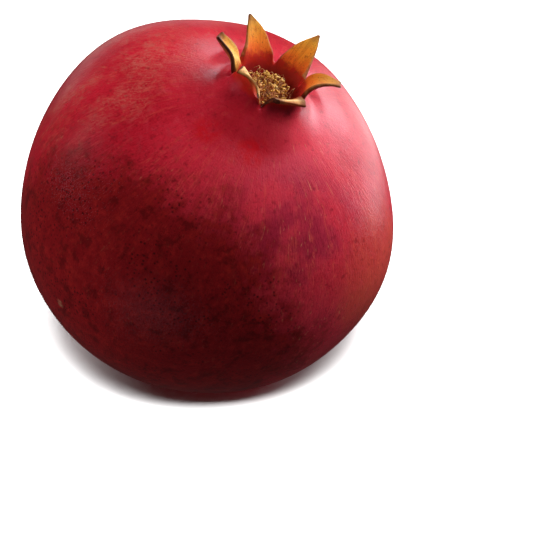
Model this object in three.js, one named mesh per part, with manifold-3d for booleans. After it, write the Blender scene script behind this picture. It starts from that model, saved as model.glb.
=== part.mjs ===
// A whole pomegranate at real size, in millimetres, +Z up. It rests on a small flat spot with its calyx
// leaning to +X, and the origin is the middle of that spot.
//
// The rind, the calyx tube and its six sepals grew as one skin, so they are one solid. The dried tuft of
// stamens in the calyx and the woody stub of the stalk are solids of their own.
//
// Shapes are worked out in the fruit's frame: the origin is the middle of the fruit and +Z is its axis,
// towards the calyx. Azimuths turn from +X to +Y about that axis. Angles are in degrees.

import * as THREE from 'three';
import { mergeVertices } from 'three/addons/utils/BufferGeometryUtils.js';
import Module from 'manifold-3d';

const wasm = await Module();
wasm.setup();

// ---- The fruit's body ----
const FRUIT_RADIUS = 50;
const CALYX_HALF_LENGTH = 46; // from the middle to where the calyx end would close without its neck
const STALK_HALF_LENGTH = 47.5;
const GIRTH_POWER = 0.98; // a little under 1 squares the outline very slightly
const LENGTH_POWER = 0.96;
const BODY_RINGS = 27;
const GIRTH_SEGMENTS = 60;

// The fruit rests beside its stalk end, so its axis leans from upright towards +X.
const FRUIT_LEAN = 31;
const FLAT_SPOT_DEPTH = 0.85;

// Full and hollow cheeks: where each is, how far it stands out, and how wide it spreads.
const CHEEKS = [
  { azimuth: 177, latitude: 15, height: 1.7, spread: 23 },
  { azimuth: 124, latitude: 35, height: 2.3, spread: 25 },
  { azimuth: 122, latitude: 42, height: -1.2, spread: 14 },
  { azimuth: 58, latitude: 31, height: -1.1, spread: 20 },
  { azimuth: 29, latitude: 11, height: 2.0, spread: 24 },
  { azimuth: -61, latitude: -34, height: -0.6, spread: 15 },
  { azimuth: -134, latitude: -15, height: -2.1, spread: 26 },
];

// The chambers inside show as faint ribs from end to end.
const RIB_COUNT = 6;
const RIB_HEIGHT = 0.35;

// Cheeks and ribs fade out between these angles from the calyx end of the axis.
const CHEEK_FADE_START = 14;
const CHEEK_FADE_END = 28;

// ---- The dimple at the stalk end, and the stub of the stalk ----
const DIMPLE_DEPTH = 2.2;
const DIMPLE_SPREAD = 7;
const STALK_RADIUS = 2.9;
const STALK_STAND_OUT = 3.2; // above the floor of the dimple
const SOCKET_DEPTH = 1.8; // of the hole in the rind that the stub stands in
const STALK_SIDES = 14;

const GAP = 0.3; // between one solid and the next

// ---- The calyx: a short neck with a cup in it ----
const SHOULDER_RADIUS = 18; // where the neck's hollow curve leaves the body
const NECK_RADIUS = 9.4;
const CUP_MOUTH_RADIUS = 7.9;
const CUP_FLOOR_RADIUS = 6.9;
const RIM_HEIGHT = 49.5; // of the notches between the sepals, from the middle of the fruit
const CUP_FLOOR_HEIGHT = 43;
const NECK_RINGS = 9;

// The neck bends over a little, about a point under its rim.
const NECK_BEND = 12.5;
const NECK_BEND_AZIMUTH = 134;
const NECK_BEND_HEIGHT = RIM_HEIGHT - 7;

// ---- The six sepals ----
// Each leaves the rim between the azimuths first and last. length and width are the blade's own, and skew
// makes its later side the longer one. lean is its angle from the neck's axis at the root, and curl is how
// much more it leans at the tip. twist is positive where its later side curls more, sway turns it sideways,
// and bow bulges its middle sideways. fold is how far round its edges close in. full is high where the blade
// stays wide, tip is the share of width left at its end, and thin is how much its edges thin out.
const SEPALS = [
  {
    first: 24, last: 64, length: 10.2, skew: 0, width: 7.6, lean: 14, curl: 82, twist: 0, sway: 0,
    bow: 0, fold: 55, full: 2.6, tip: 0.35, thin: 0.5,
  },
  {
    first: 68, last: 128, length: 12.0, skew: 0, width: 8.3, lean: 35, curl: 13, twist: 0, sway: 9,
    bow: 0.5, fold: 25, full: 2.2, tip: 0.06, thin: 0.6,
  },
  {
    first: 132, last: 200, length: 11.2, skew: 0, width: 8.0, lean: 37, curl: 12, twist: 0, sway: 9,
    bow: -0.6, fold: 30, full: 2.4, tip: 0.06, thin: 0.6,
  },
  {
    first: 200, last: 224, length: 8.9, skew: 0, width: 5.8, lean: 58, curl: 2, twist: 0, sway: -3,
    bow: 0, fold: 75, full: 8, tip: 0.75, thin: 0.3,
  },
  {
    first: 224, last: 308, length: 3.3, skew: -0.1, width: 8.5, lean: -36, curl: 92, twist: -0.25, sway: 48,
    bow: 0.9, fold: 6, full: 8, tip: 0.85, thin: 0,
  },
  {
    first: 308, last: 384, length: 2.6, skew: 0.35, width: 8.2, lean: 25, curl: 72, twist: 0.3, sway: 0,
    bow: 0, fold: 6, full: 8, tip: 0.85, thin: 0,
  },
];
const SEPAL_ROOT_THICKNESS = 1.45;
const SEPAL_TIP_THICKNESS = 0.8;
const SEPAL_ROOT_DEPTH = 2; // sunk down into the neck's wall
const SEPAL_ROOT_ROWS = 2;
const SEPAL_BLADE_ROWS = 10;
const SEPAL_COLUMNS = 8;
const SEPAL_LINE_STEPS = 20; // that its middle line is added up in

// ---- The tuft of dried stamens ----
const STAMEN_COUNT = 36;
const TUFT_RADIUS = 6.3; // of the mat of fallen stamens that the others stand in
const TUFT_MAT_THICKNESS = 1.1;
const TUFT_MAT_SIDES = 16;
const ANTHER_REACH = 5.3; // the furthest that an anther's middle is from the neck's axis
const ANTHER_LENGTH = 1.7;
const ANTHER_WIDTH = 1.0;
const ANTHER_SIDES = 5;
const ANTHER_RINGS = 4;
const FILAMENT_RADIUS = 0.3;
const FILAMENT_SIDES = 3;
const FILAMENT_STEPS = 3;
const FILAMENT_HEIGHT_MIN = 1.2;
const FILAMENT_HEIGHT_MAX = 4.8;
const TUFT_SEED = 11;

// ---- Small helpers ----
const rad = THREE.MathUtils.degToRad;
const degrees = THREE.MathUtils.radToDeg;
const Z_AXIS = new THREE.Vector3(0, 0, 1);
const MERGE_DISTANCE = 1e-4;

// A unit vector in the fruit's frame.
function direction(azimuth, latitude) {
  const level = Math.cos(rad(latitude));
  return new THREE.Vector3(
    level * Math.cos(rad(azimuth)),
    level * Math.sin(rad(azimuth)),
    Math.sin(rad(latitude)),
  );
}

// The same draws every time, from 0 to 1 (a linear congruential generator).
function randomDraws(seed) {
  let state = seed;
  return () => {
    state = (state * 1664525 + 1013904223) % 4294967296;
    return state / 4294967296;
  };
}

// Moves every vertex of a geometry by move(vector), which changes the vector in place.
function reshape(geometry, move) {
  const position = geometry.attributes.position;
  const point = new THREE.Vector3();
  for (let i = 0; i < position.count; i += 1) {
    point.fromBufferAttribute(position, i);
    move(point);
    position.setXYZ(i, point.x, point.y, point.z);
  }
  return geometry;
}

// A closed geometry as a solid that can be joined and cut, without the triangles that meet the axis in
// a line.
function toSolid(geometry) {
  const bare = geometry.clone();
  bare.deleteAttribute('normal');
  bare.deleteAttribute('uv');
  const merged = mergeVertices(bare, MERGE_DISTANCE);
  const corners = Array.from(merged.index.array);
  const triangles = [];
  for (let i = 0; i < corners.length; i += 3) {
    const [a, b, c] = corners.slice(i, i + 3);
    if (a !== b && b !== c && c !== a) {
      triangles.push(a, b, c);
    }
  }
  const mesh = new wasm.Mesh({
    numProp: 3,
    vertProperties: new Float32Array(merged.attributes.position.array),
    triVerts: new Uint32Array(triangles),
  });
  return new wasm.Manifold(mesh);
}

function toGeometry(solid) {
  const mesh = solid.getMesh();
  const geometry = new THREE.BufferGeometry();
  geometry.setAttribute('position', new THREE.BufferAttribute(new Float32Array(mesh.vertProperties), 3));
  geometry.setIndex(new THREE.BufferAttribute(new Uint32Array(mesh.triVerts), 1));
  return geometry;
}

function joinAll(solids) {
  return solids.reduce((joined, next) => joined.add(next));
}

// A round solid about Z, from its profile of [radius, height] points that starts and ends on the axis.
function turned(profile, sides) {
  const points = profile.map(([radius, height]) => new THREE.Vector2(radius, height));
  return new THREE.LatheGeometry(points, sides).rotateX(Math.PI / 2);
}

// ---- The rind ----
const CHEEK_DIRECTIONS = CHEEKS.map((cheek) => direction(cheek.azimuth, cheek.latitude));

// How far the skin stands out from the plain round body, in the direction of a point.
function swelling(point) {
  const outward = point.clone().normalize();
  const fromCalyx = degrees(outward.angleTo(Z_AXIS));
  const azimuth = Math.atan2(outward.y, outward.x);
  let height = RIB_HEIGHT * Math.cos(RIB_COUNT * azimuth) * Math.sin(rad(fromCalyx));
  CHEEKS.forEach((cheek, i) => {
    const away = degrees(outward.angleTo(CHEEK_DIRECTIONS[i]));
    height += cheek.height * Math.exp(-((away / cheek.spread) ** 2));
  });
  return height * THREE.MathUtils.smoothstep(fromCalyx, CHEEK_FADE_START, CHEEK_FADE_END);
}

// The height of the plain body's outline, and its radius, at an angle from the calyx end.
function bodyPoint(angle) {
  const along = Math.cos(rad(angle));
  const halfLength = along > 0 ? CALYX_HALF_LENGTH : STALK_HALF_LENGTH;
  const radius = FRUIT_RADIUS * Math.sin(rad(angle)) ** GIRTH_POWER;
  const plainHeight = halfLength * Math.sign(along) * Math.abs(along) ** LENGTH_POWER;
  const dimple = along < 0 ? DIMPLE_DEPTH * Math.exp(-((radius / DIMPLE_SPREAD) ** 2)) : 0;
  return [radius, plainHeight + dimple];
}

// The outline from the stalk end to the shoulder, up the neck, over its rim and down into the cup.
function rindProfile() {
  const shoulderSine = (SHOULDER_RADIUS / FRUIT_RADIUS) ** (1 / GIRTH_POWER);
  const shoulderAngle = degrees(Math.asin(shoulderSine));
  const profile = [[0, bodyPoint(180)[1]]];
  for (let ring = 1; ring <= BODY_RINGS; ring += 1) {
    profile.push(bodyPoint(180 + (shoulderAngle - 180) * (ring / BODY_RINGS)));
  }
  const [shoulderX, shoulderY] = profile[BODY_RINGS];
  const [beforeX, beforeY] = bodyPoint(shoulderAngle + 1);
  const shoulder = new THREE.Vector2(shoulderX, shoulderY);
  const along = new THREE.Vector2(shoulderX - beforeX, shoulderY - beforeY).normalize();
  const rise = RIM_HEIGHT - shoulderY;
  const hollow = new THREE.CubicBezierCurve(
    shoulder,
    shoulder.clone().addScaledVector(along, (SHOULDER_RADIUS - NECK_RADIUS) * 0.55),
    new THREE.Vector2(NECK_RADIUS + rise * 0.11, RIM_HEIGHT - rise * 0.75),
    new THREE.Vector2(NECK_RADIUS, RIM_HEIGHT),
  );
  hollow.getPoints(NECK_RINGS).slice(1).forEach((point) => profile.push([point.x, point.y]));
  const midWall = (NECK_RADIUS + CUP_MOUTH_RADIUS) / 2;
  profile.push([midWall, RIM_HEIGHT + 0.4]);
  profile.push([CUP_MOUTH_RADIUS, RIM_HEIGHT]);
  profile.push([CUP_FLOOR_RADIUS + 0.3, (RIM_HEIGHT + CUP_FLOOR_HEIGHT) / 2]);
  profile.push([CUP_FLOOR_RADIUS, CUP_FLOOR_HEIGHT]);
  profile.push([0, CUP_FLOOR_HEIGHT]);
  return profile;
}

// Everything in the neck turns over with it, less and less towards the shoulder.
const BEND_AXIS = direction(NECK_BEND_AZIMUTH + 90, 0);

function turnOver(point, share = 1) {
  point.z -= NECK_BEND_HEIGHT;
  point.applyAxisAngle(BEND_AXIS, rad(NECK_BEND) * share);
  point.z += NECK_BEND_HEIGHT;
}

function bendWithNeck(point) {
  const radius = Math.hypot(point.x, point.y);
  if (point.z > 0) {
    turnOver(point, 1 - THREE.MathUtils.smoothstep(radius, NECK_RADIUS, SHOULDER_RADIUS));
  }
}

function bodySolid() {
  const body = turned(rindProfile(), GIRTH_SEGMENTS);
  reshape(body, (point) => {
    const outward = point.clone().normalize();
    point.addScaledVector(outward, swelling(point));
    bendWithNeck(point);
  });
  return toSolid(body);
}

// ---- A sepal ----
const RIM_MIDDLE = (NECK_RADIUS + CUP_MOUTH_RADIUS) / 2;

function sepalSides(sepal) {
  const azimuth = (sepal.first + sepal.last) / 2;
  return { outward: direction(azimuth, 0), across: direction(azimuth + 90, 0) };
}

// Which way a sepal points at a share of its length. acrossShare is -1 at its first side and 1 at its last.
function sepalHeading(sepal, share, acrossShare) {
  const { outward, across } = sepalSides(sepal);
  const lean = rad(sepal.lean + sepal.curl * share * (1 + sepal.twist * acrossShare));
  const sway = rad(sepal.sway * share);
  return new THREE.Vector3()
    .addScaledVector(outward, Math.sin(lean) * Math.cos(sway))
    .addScaledVector(Z_AXIS, Math.cos(lean) * Math.cos(sway))
    .addScaledVector(across, Math.sin(sway));
}

// The place of its middle line, which is added up in short steps from the rim.
function sepalMiddle(sepal, share, acrossShare) {
  const { outward, across } = sepalSides(sepal);
  const place = outward.multiplyScalar(RIM_MIDDLE).setZ(RIM_HEIGHT);
  const steps = Math.max(1, Math.round(share * SEPAL_LINE_STEPS));
  const length = sepal.length * (1 + sepal.skew * acrossShare) * share;
  for (let step = 0; step < steps; step += 1) {
    const heading = sepalHeading(sepal, (share * (step + 0.5)) / steps, acrossShare);
    place.addScaledVector(heading, length / steps);
  }
  return place.addScaledVector(across, sepal.bow * Math.sin(Math.PI * share));
}

// A point of the blade. side is 1 on its inner face and -1 on its outer one.
function sepalPoint(sepal, share, acrossShare, side) {
  const heading = sepalHeading(sepal, share, acrossShare);
  const { across } = sepalSides(sepal);
  across.addScaledVector(heading, -across.dot(heading)).normalize();
  const inward = new THREE.Vector3().crossVectors(heading, across);
  const rootHalfArc = rad(sepal.last - sepal.first) / 2;
  const taper = Math.max(1 - share ** sepal.full, sepal.tip);
  const opened = THREE.MathUtils.smoothstep(share, 0, 0.5);
  const widened = THREE.MathUtils.smoothstep(share, 0, 0.35);
  const width = THREE.MathUtils.lerp(2 * rootHalfArc * RIM_MIDDLE, sepal.width * taper, widened);
  const halfArc = THREE.MathUtils.lerp(rootHalfArc, rad(sepal.fold) * Math.sqrt(taper), opened);
  const arcRadius = width / 2 / halfArc;
  const thickness = THREE.MathUtils.lerp(SEPAL_ROOT_THICKNESS, SEPAL_TIP_THICKNESS, share);
  const thinned = thickness * (1 - sepal.thin * opened * acrossShare ** 4);
  const depth = arcRadius - (side * thinned) / 2;
  const turn = acrossShare * halfArc;
  const point = sepalMiddle(sepal, share, acrossShare);
  point.addScaledVector(across, depth * Math.sin(turn));
  return point.addScaledVector(inward, arcRadius - depth * Math.cos(turn));
}

function sepalSolid(sepal) {
  const rows = SEPAL_ROOT_ROWS + SEPAL_BLADE_ROWS;
  const blade = new THREE.BoxGeometry(2, 2, rows, SEPAL_COLUMNS, 1, rows);
  blade.translate(0, 0, rows / 2 - SEPAL_ROOT_ROWS);
  reshape(blade, (point) => {
    const sunk = (Math.max(-point.z, 0) / SEPAL_ROOT_ROWS) * SEPAL_ROOT_DEPTH;
    const share = Math.max(point.z, 0) / SEPAL_BLADE_ROWS;
    point.copy(sepalPoint(sepal, share, point.x, point.y));
    point.z -= sunk;
    turnOver(point);
  });
  return toSolid(blade);
}

// ---- The stub of the stalk: it is wider where it was cut, and stands in a socket in the dimple ----
const DIMPLE_FLOOR = -STALK_HALF_LENGTH + DIMPLE_DEPTH;
const SOCKET_TOP = DIMPLE_FLOOR + SOCKET_DEPTH;

function socketSolid() {
  return toSolid(turned([
    [0, -STALK_HALF_LENGTH - DIMPLE_DEPTH],
    [STALK_RADIUS + GAP, -STALK_HALF_LENGTH - DIMPLE_DEPTH],
    [STALK_RADIUS + GAP, SOCKET_TOP],
    [0, SOCKET_TOP],
  ], STALK_SIDES));
}

function rindSolid() {
  return joinAll([bodySolid(), ...SEPALS.map(sepalSolid)]).subtract(socketSolid());
}

function stalkSolid() {
  const top = SOCKET_TOP - GAP;
  const cut = DIMPLE_FLOOR - STALK_STAND_OUT;
  return toSolid(turned([
    [0, cut + 0.5],
    [STALK_RADIUS * 0.55, cut],
    [STALK_RADIUS * 0.85, cut + 0.2],
    [STALK_RADIUS * 0.78, DIMPLE_FLOOR - 1.2],
    [STALK_RADIUS, DIMPLE_FLOOR],
    [STALK_RADIUS, top],
    [0, top],
  ], STALK_SIDES));
}

// ---- The stamens: anthers on curled filaments, standing in a mat of fallen ones ----
function filamentSolid(root, bow, end) {
  const curve = new THREE.QuadraticBezierCurve3(root, bow, end);
  const filament = new THREE.CylinderGeometry(
    FILAMENT_RADIUS,
    FILAMENT_RADIUS,
    1,
    FILAMENT_SIDES,
    FILAMENT_STEPS,
  ).rotateX(Math.PI / 2);
  const chord = new THREE.Vector3().subVectors(end, root);
  const side = new THREE.Vector3().crossVectors(chord, direction(40, 0)).normalize();
  reshape(filament, (point) => {
    const { x, y, z } = point;
    const share = z + 0.5;
    const along = curve.getTangent(share);
    const other = new THREE.Vector3().crossVectors(along, side).normalize();
    const first = new THREE.Vector3().crossVectors(other, along);
    point.copy(curve.getPoint(share)).addScaledVector(first, x).addScaledVector(other, y);
    turnOver(point);
  });
  return toSolid(filament);
}

function antherSolid(middle, azimuth, latitude) {
  const anther = new THREE.SphereGeometry(1, ANTHER_SIDES, ANTHER_RINGS).rotateX(Math.PI / 2);
  anther.scale(ANTHER_WIDTH / 2, ANTHER_WIDTH / 2, ANTHER_LENGTH / 2);
  anther.applyQuaternion(new THREE.Quaternion().setFromUnitVectors(Z_AXIS, direction(azimuth, latitude)));
  anther.translate(middle.x, middle.y, middle.z);
  return toSolid(reshape(anther, (point) => turnOver(point)));
}

function stamenSolid() {
  const draw = randomDraws(TUFT_SEED);
  const between = (low, high) => low + (high - low) * draw();
  const floor = CUP_FLOOR_HEIGHT + GAP;
  const matTop = floor + TUFT_MAT_THICKNESS;
  const mat = turned([
    [0, floor],
    [TUFT_RADIUS, floor],
    [TUFT_RADIUS, floor + TUFT_MAT_THICKNESS * 0.6],
    [TUFT_RADIUS * 0.8, matTop],
    [0, matTop + 0.3],
  ], TUFT_MAT_SIDES);
  const pieces = [toSolid(reshape(mat, (point) => turnOver(point)))];
  for (let i = 0; i < STAMEN_COUNT; i += 1) {
    const azimuth = i * 137.5 + between(-20, 20);
    const reach = ANTHER_REACH * Math.sqrt((i + 0.5) / STAMEN_COUNT);
    const height = between(FILAMENT_HEIGHT_MIN, FILAMENT_HEIGHT_MAX) * (1.1 - 0.4 * (reach / ANTHER_REACH));
    const root = direction(azimuth + between(-70, 70), 0).multiplyScalar(reach * 0.8).setZ(floor + 0.4);
    const end = direction(azimuth, 0).multiplyScalar(reach).setZ(matTop + height);
    const bow = root.clone().lerp(end, 0.5).multiplyScalar(0.75).setZ(matTop + height * between(0.8, 1.2));
    pieces.push(filamentSolid(root, bow, end));
    pieces.push(antherSolid(end, between(0, 360), between(-20, 50)));
  }
  return joinAll(pieces);
}

// ---- The fruit, leant over and set down on its flat spot ----
function leantOver(solid) {
  return toGeometry(solid).rotateY(rad(FRUIT_LEAN));
}

function lowestHeight(geometry) {
  geometry.computeBoundingBox();
  return geometry.boundingBox.min.z;
}

function aboveGround(geometry, groundHeight) {
  const size = 4 * FRUIT_RADIUS;
  const ground = new THREE.BoxGeometry(size, size, FRUIT_RADIUS);
  ground.translate(0, 0, groundHeight - FRUIT_RADIUS / 2);
  return toGeometry(toSolid(geometry).subtract(toSolid(ground)));
}

// The middle of the face that lies at the ground's height.
function flatSpotMiddle(geometry, groundHeight) {
  const spot = new THREE.Box3();
  const position = geometry.attributes.position;
  for (let i = 0; i < position.count; i += 1) {
    const point = new THREE.Vector3().fromBufferAttribute(position, i);
    if (Math.abs(point.z - groundHeight) < MERGE_DISTANCE * 10) {
      spot.expandByPoint(point);
    }
  }
  return spot.getCenter(new THREE.Vector3());
}

const leaningRind = leantOver(rindSolid());
const groundHeight = lowestHeight(leaningRind) + FLAT_SPOT_DEPTH;
const rind = aboveGround(leaningRind, groundHeight);
const origin = flatSpotMiddle(rind, groundHeight).negate();

const finishes = {
  rind: { color: 0x9c1a26, roughness: 0.35, metalness: 0 },
  stamens: { color: 0xb98a3e, roughness: 0.8, metalness: 0 },
  stalk_stub: { color: 0x6b4a2c, roughness: 0.85, metalness: 0 },
};
const shapes = {
  rind,
  stamens: leantOver(stamenSolid()),
  stalk_stub: leantOver(stalkSolid()),
};

const pomegranate = new THREE.Group();
Object.entries(shapes).forEach(([name, geometry]) => {
  geometry.translate(origin.x, origin.y, origin.z);
  geometry.computeVertexNormals();
  const piece = new THREE.Mesh(geometry, new THREE.MeshStandardMaterial(finishes[name]));
  piece.name = name;
  pomegranate.add(piece);
});

export default pomegranate;
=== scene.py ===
# %% [markdown]
# # A whole pomegranate
#
# The fruit is one grown skin: a round body, a short neck, a cup, and six sepals that stand round the cup
# like a crown. A tuft of dried stamens is left in the cup from the flower, and a cut stub of the stalk is
# left in the dimple at the other end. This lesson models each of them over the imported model, which is the
# fixed frame: what it says about size and place is kept, and the modelling adds what solids can't show.

# %% Load the frame
import math
import random

import bmesh
import bpy
from mathutils import Matrix, Vector, noise


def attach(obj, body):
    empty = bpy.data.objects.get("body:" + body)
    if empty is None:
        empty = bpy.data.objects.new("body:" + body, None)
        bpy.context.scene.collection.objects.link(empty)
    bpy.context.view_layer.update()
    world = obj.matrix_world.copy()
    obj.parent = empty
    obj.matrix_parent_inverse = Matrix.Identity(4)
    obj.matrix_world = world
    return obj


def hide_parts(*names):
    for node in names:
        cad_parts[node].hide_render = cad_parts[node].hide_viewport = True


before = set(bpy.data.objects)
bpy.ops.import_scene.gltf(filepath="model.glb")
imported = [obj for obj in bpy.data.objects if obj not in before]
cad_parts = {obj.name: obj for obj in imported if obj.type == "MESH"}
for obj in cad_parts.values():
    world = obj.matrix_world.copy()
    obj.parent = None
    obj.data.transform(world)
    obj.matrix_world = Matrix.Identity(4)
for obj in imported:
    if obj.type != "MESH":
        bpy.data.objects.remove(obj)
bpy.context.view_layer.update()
print("the frame's nodes:", sorted(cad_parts))

# %% [markdown]
# ## The fruit's own frame
#
# A fruit is easiest to shape upright, with its middle at the origin and its axis along Z, towards the calyx.
# Everything below is made there. The last step for each piece turns its mesh over by the fruit's lean and
# sets it down, so that its object stays unturned at the origin.

# %% Lengths, angles and the fruit's stand
MM = 0.001

FRUIT_LEAN = math.radians(31)
FRUIT_MIDDLE = Vector((-3.10, -0.01, 47.90)) * MM
STAND = Matrix.Translation(FRUIT_MIDDLE) @ Matrix.Rotation(FRUIT_LEAN, 4, "Y")

Z_AXIS = Vector((0, 0, 1))


def direction(azimuth, latitude=0.0):
    """A unit vector in the fruit's frame, from angles in degrees."""
    level = math.cos(math.radians(latitude))
    turn = math.radians(azimuth)
    return Vector((level * math.cos(turn), level * math.sin(turn), math.sin(math.radians(latitude))))


def smooth_step(value, start, end):
    """0 before start, 1 after end, and a smooth rise between them."""
    share = min(max((value - start) / (end - start), 0.0), 1.0)
    return share * share * (3 - 2 * share)


def blend(first, second, share):
    return first + (second - first) * share


print("the fruit's middle stands", round(FRUIT_MIDDLE.z / MM, 1), "mm above the table")

# %% [markdown]
# ## Helpers for modelling
#
# Blender's own editing tools do the modelling here: extrude, spin, merge and modifiers, as by hand. Points
# could also be written straight into a mesh, but the tools keep the faces joined and facing out. A few short
# helpers save repeating which piece is selected and which mode it is in.

# %% Helpers for editing
def deselect_all():
    if bpy.context.object and bpy.context.object.mode != "OBJECT":
        bpy.ops.object.mode_set(mode="OBJECT")
    bpy.ops.object.select_all(action="DESELECT")


def select_only(piece):
    deselect_all()
    piece.select_set(True)
    bpy.context.view_layer.objects.active = piece


def edit(piece):
    """Goes into edit mode on one piece with nothing in it selected, and gives its editable mesh."""
    select_only(piece)
    bpy.ops.object.mode_set(mode="EDIT")
    bpy.ops.mesh.select_mode(type="VERT")
    bpy.ops.mesh.select_all(action="DESELECT")
    return bmesh.from_edit_mesh(piece.data)


def apply_modifier(piece, kind, **settings):
    """Adds a modifier with these settings and applies it."""
    select_only(piece)
    modifier = piece.modifiers.new(kind.title(), kind)
    for name, value in settings.items():
        setattr(modifier, name, value)
    bpy.ops.object.modifier_apply(modifier=modifier.name)


def reshape(piece, rule):
    """Moves every point of the piece's mesh to rule(point)."""
    for vertex in piece.data.vertices:
        vertex.co = rule(vertex.co.copy())
    piece.data.update()


def draw_outline(name, points):
    """A new piece that is a chain of points in the XZ plane, each extruded from the last."""
    deselect_all()
    bpy.ops.mesh.primitive_plane_add(size=MM)
    piece = bpy.context.object
    piece.name = name
    edit(piece)
    bpy.ops.mesh.select_all(action="SELECT")
    bpy.ops.mesh.merge(type="CENTER")
    here = Vector((0, 0, 0))
    for index, (radius, height) in enumerate(points):
        there = Vector((radius, 0, height))
        if index == 0:
            bpy.ops.transform.translate(value=there - here)
        else:
            bpy.ops.mesh.extrude_region_move(TRANSFORM_OT_translate={"value": there - here})
        here = there
    bpy.ops.object.mode_set(mode="OBJECT")
    return piece


def spin_outline(piece, steps):
    """Turns the drawn outline once round Z into a closed skin that faces out."""
    edit(piece)
    bpy.ops.mesh.select_all(action="SELECT")
    bpy.ops.mesh.spin(steps=steps, angle=math.tau, center=(0, 0, 0), axis=(0, 0, 1))
    bpy.ops.mesh.select_all(action="SELECT")
    bpy.ops.mesh.remove_doubles(threshold=0.01 * MM)
    bpy.ops.mesh.normals_make_consistent(inside=False)
    bpy.ops.object.mode_set(mode="OBJECT")


print("modelling helpers are ready")

# %% [markdown]
# ## The skin's outline
#
# The real fruit is nearly round, a little squared, with a dimple at the stalk and a hollow curve where the
# neck rises from its shoulder. It could be sculpted from a ball, but a drawn outline that is spun keeps its
# sizes exact. The outline starts at the stalk, goes up the body and the neck, over the rim, and down into
# the cup, so that the skin closes on itself at both ends of the axis.

# %% The sizes of the body and the neck
FRUIT_RADIUS = 50 * MM
CALYX_HALF_LENGTH = 46 * MM
STALK_HALF_LENGTH = 47.5 * MM
GIRTH_POWER = 0.98
LENGTH_POWER = 0.96
DIMPLE_DEPTH = 2.2 * MM
DIMPLE_SPREAD = 7 * MM

SHOULDER_RADIUS = 18 * MM
NECK_RADIUS = 9.4 * MM
CUP_MOUTH_RADIUS = 7.9 * MM
CUP_FLOOR_RADIUS = 6.9 * MM
RIM_HEIGHT = 49.5 * MM
CUP_FLOOR_HEIGHT = 43 * MM
RIM_MIDDLE = (NECK_RADIUS + CUP_MOUTH_RADIUS) / 2

SHOULDER_PULL = 0.55  # how far the shoulder's slope is kept up into the neck's curve
RIM_PULL_DOWN = 0.75  # how far down the curve the rim's direction is kept
RIM_PULL_OUT = 0.11

print("the body is", 2 * FRUIT_RADIUS / MM, "mm wide and its rim", round(2 * RIM_MIDDLE / MM, 1), "mm")

# %% The outlines of the body and the neck
def body_point(angle):
    """The plain body's radius and height at an angle in degrees from the calyx end."""
    along = math.cos(math.radians(angle))
    half_length = CALYX_HALF_LENGTH if along > 0 else STALK_HALF_LENGTH
    radius = FRUIT_RADIUS * max(math.sin(math.radians(angle)), 0.0) ** GIRTH_POWER
    height = math.copysign(half_length * abs(along) ** LENGTH_POWER, along)
    if along < 0:
        height += DIMPLE_DEPTH * math.exp(-((radius / DIMPLE_SPREAD) ** 2))
    return radius, height


def hollow_curve(start, start_pull, end_pull, end, share):
    """A point on the curve that leaves start towards start_pull and reaches end from end_pull."""
    rest = 1 - share
    return tuple(
        rest**3 * a + 3 * rest**2 * share * b + 3 * rest * share**2 * c + share**3 * d
        for a, b, c, d in zip(start, start_pull, end_pull, end)
    )


print("at its girth the body's outline is", round(body_point(90)[0] / MM, 1), "mm from the axis")

# %% Draw and spin the skin
BODY_RINGS = 24
NECK_RINGS = 9
COLUMNS = 90  # round the girth, so one every 4 degrees
COLUMN_TURN = 360 / COLUMNS
WALL_RINGS = (0.3, 0.6, 0.85)  # how far down the cup's wall
FLOOR_RINGS = (0.92, 0.6, 0.3, 0)  # how far out on the cup's floor


def skin_outline():
    shoulder_sine = (SHOULDER_RADIUS / FRUIT_RADIUS) ** (1 / GIRTH_POWER)
    shoulder_angle = math.degrees(math.asin(shoulder_sine))
    outline = [(0, body_point(180)[1])]
    for ring in range(1, BODY_RINGS + 1):
        outline.append(body_point(blend(180, shoulder_angle, ring / BODY_RINGS)))
    shoulder = Vector(outline[-1])
    slope = (shoulder - Vector(body_point(shoulder_angle + 1))).normalized()
    rise = RIM_HEIGHT - shoulder.y
    start_pull = shoulder + slope * (SHOULDER_RADIUS - NECK_RADIUS) * SHOULDER_PULL
    end_pull = (NECK_RADIUS + rise * RIM_PULL_OUT, RIM_HEIGHT - rise * RIM_PULL_DOWN)
    rim = (NECK_RADIUS, RIM_HEIGHT)
    for ring in range(1, NECK_RINGS + 1):
        outline.append(hollow_curve(shoulder, start_pull, end_pull, rim, ring / NECK_RINGS))
    outline.append((CUP_MOUTH_RADIUS, RIM_HEIGHT))
    for share in WALL_RINGS:
        radius = blend(CUP_MOUTH_RADIUS, CUP_FLOOR_RADIUS, share)
        outline.append((radius, blend(RIM_HEIGHT, CUP_FLOOR_HEIGHT, share)))
    for share in FLOOR_RINGS:
        outline.append((CUP_FLOOR_RADIUS * share, CUP_FLOOR_HEIGHT))
    return outline


skin = draw_outline("pomegranate_skin", skin_outline())
spin_outline(skin, COLUMNS)
print("the plain skin has", len(skin.data.polygons), "faces")

# %% [markdown]
# ## Cheeks and ribs
#
# No fruit is a turned shape. The seed chambers push the skin out in faint ribs, and it has full and hollow
# cheeks where it grew against leaves and branches. These are soft, wide swellings, so a rule that moves each
# point by its direction is smoother than pulling points by hand.

# %% Swell the body
CHEEKS = [  # azimuth, latitude, how far it stands out, its width in degrees
    (177, 15, 1.7 * MM, 23),
    (124, 35, 2.3 * MM, 25),
    (122, 42, -1.2 * MM, 14),
    (58, 31, -1.1 * MM, 20),
    (29, 11, 2.0 * MM, 24),
    (-61, -34, -0.6 * MM, 15),
    (-134, -15, -2.1 * MM, 26),
]
RIB_COUNT = 6
RIB_HEIGHT = 0.35 * MM
CHEEK_FADE_START = 14  # degrees from the calyx, inside which the neck stays plain
CHEEK_FADE_END = 28


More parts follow.
